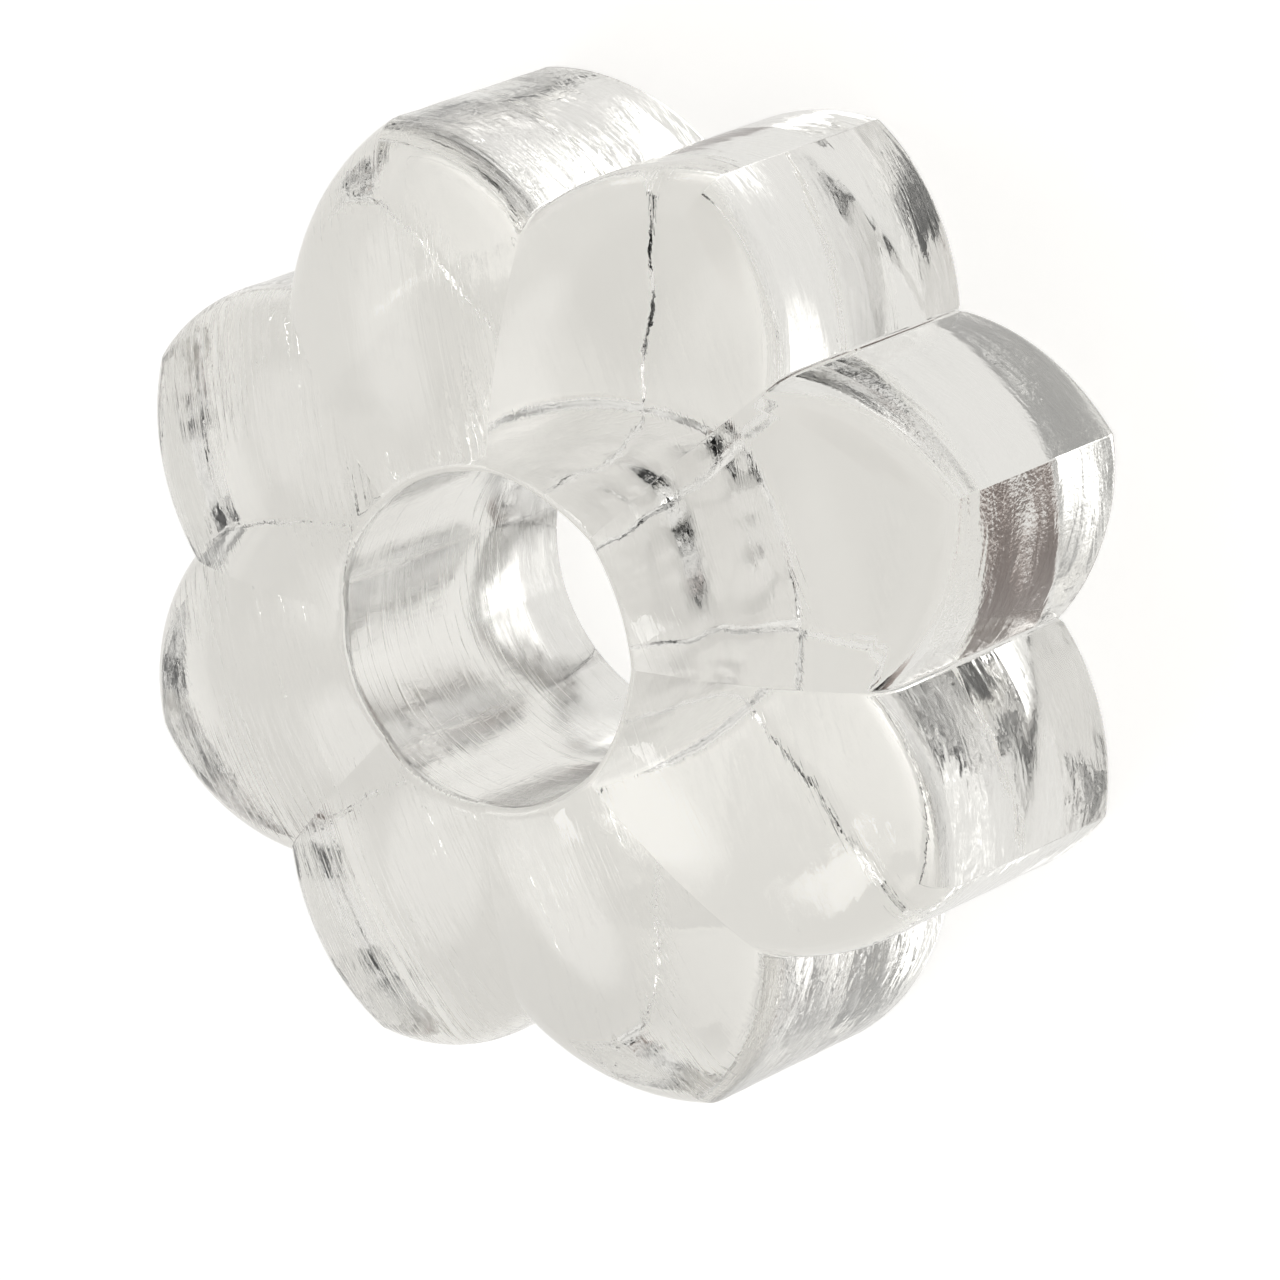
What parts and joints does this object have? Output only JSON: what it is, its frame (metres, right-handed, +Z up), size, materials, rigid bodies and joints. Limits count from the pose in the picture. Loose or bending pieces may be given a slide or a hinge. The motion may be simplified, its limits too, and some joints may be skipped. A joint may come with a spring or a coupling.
{
  "type": "flower frog",
  "caption": "Clear flower-shaped ring with pointed petals, a crowned front, a flat base and one through bore for flower stems.",
  "frame": {"origin": "on the bore's axis, level with the flat underside that the part rests on", "axes": "+Z up along the bore axis towards the crowned front; +X through the tip of petal_1"},
  "size_m": [0.0672, 0.0672, 0.0265],
  "materials": {
    "clear_glass": "clear pressed glass with faint flow ripples and hairline drag marks"
  },
  "bodies": {
    "root": {"hub": "clear_glass", "petal_1": "clear_glass", "petal_2": "clear_glass", "petal_3": "clear_glass", "petal_4": "clear_glass", "petal_5": "clear_glass", "petal_6": "clear_glass", "petal_7": "clear_glass", "petal_8": "clear_glass"}
  },
  "joints": []
}
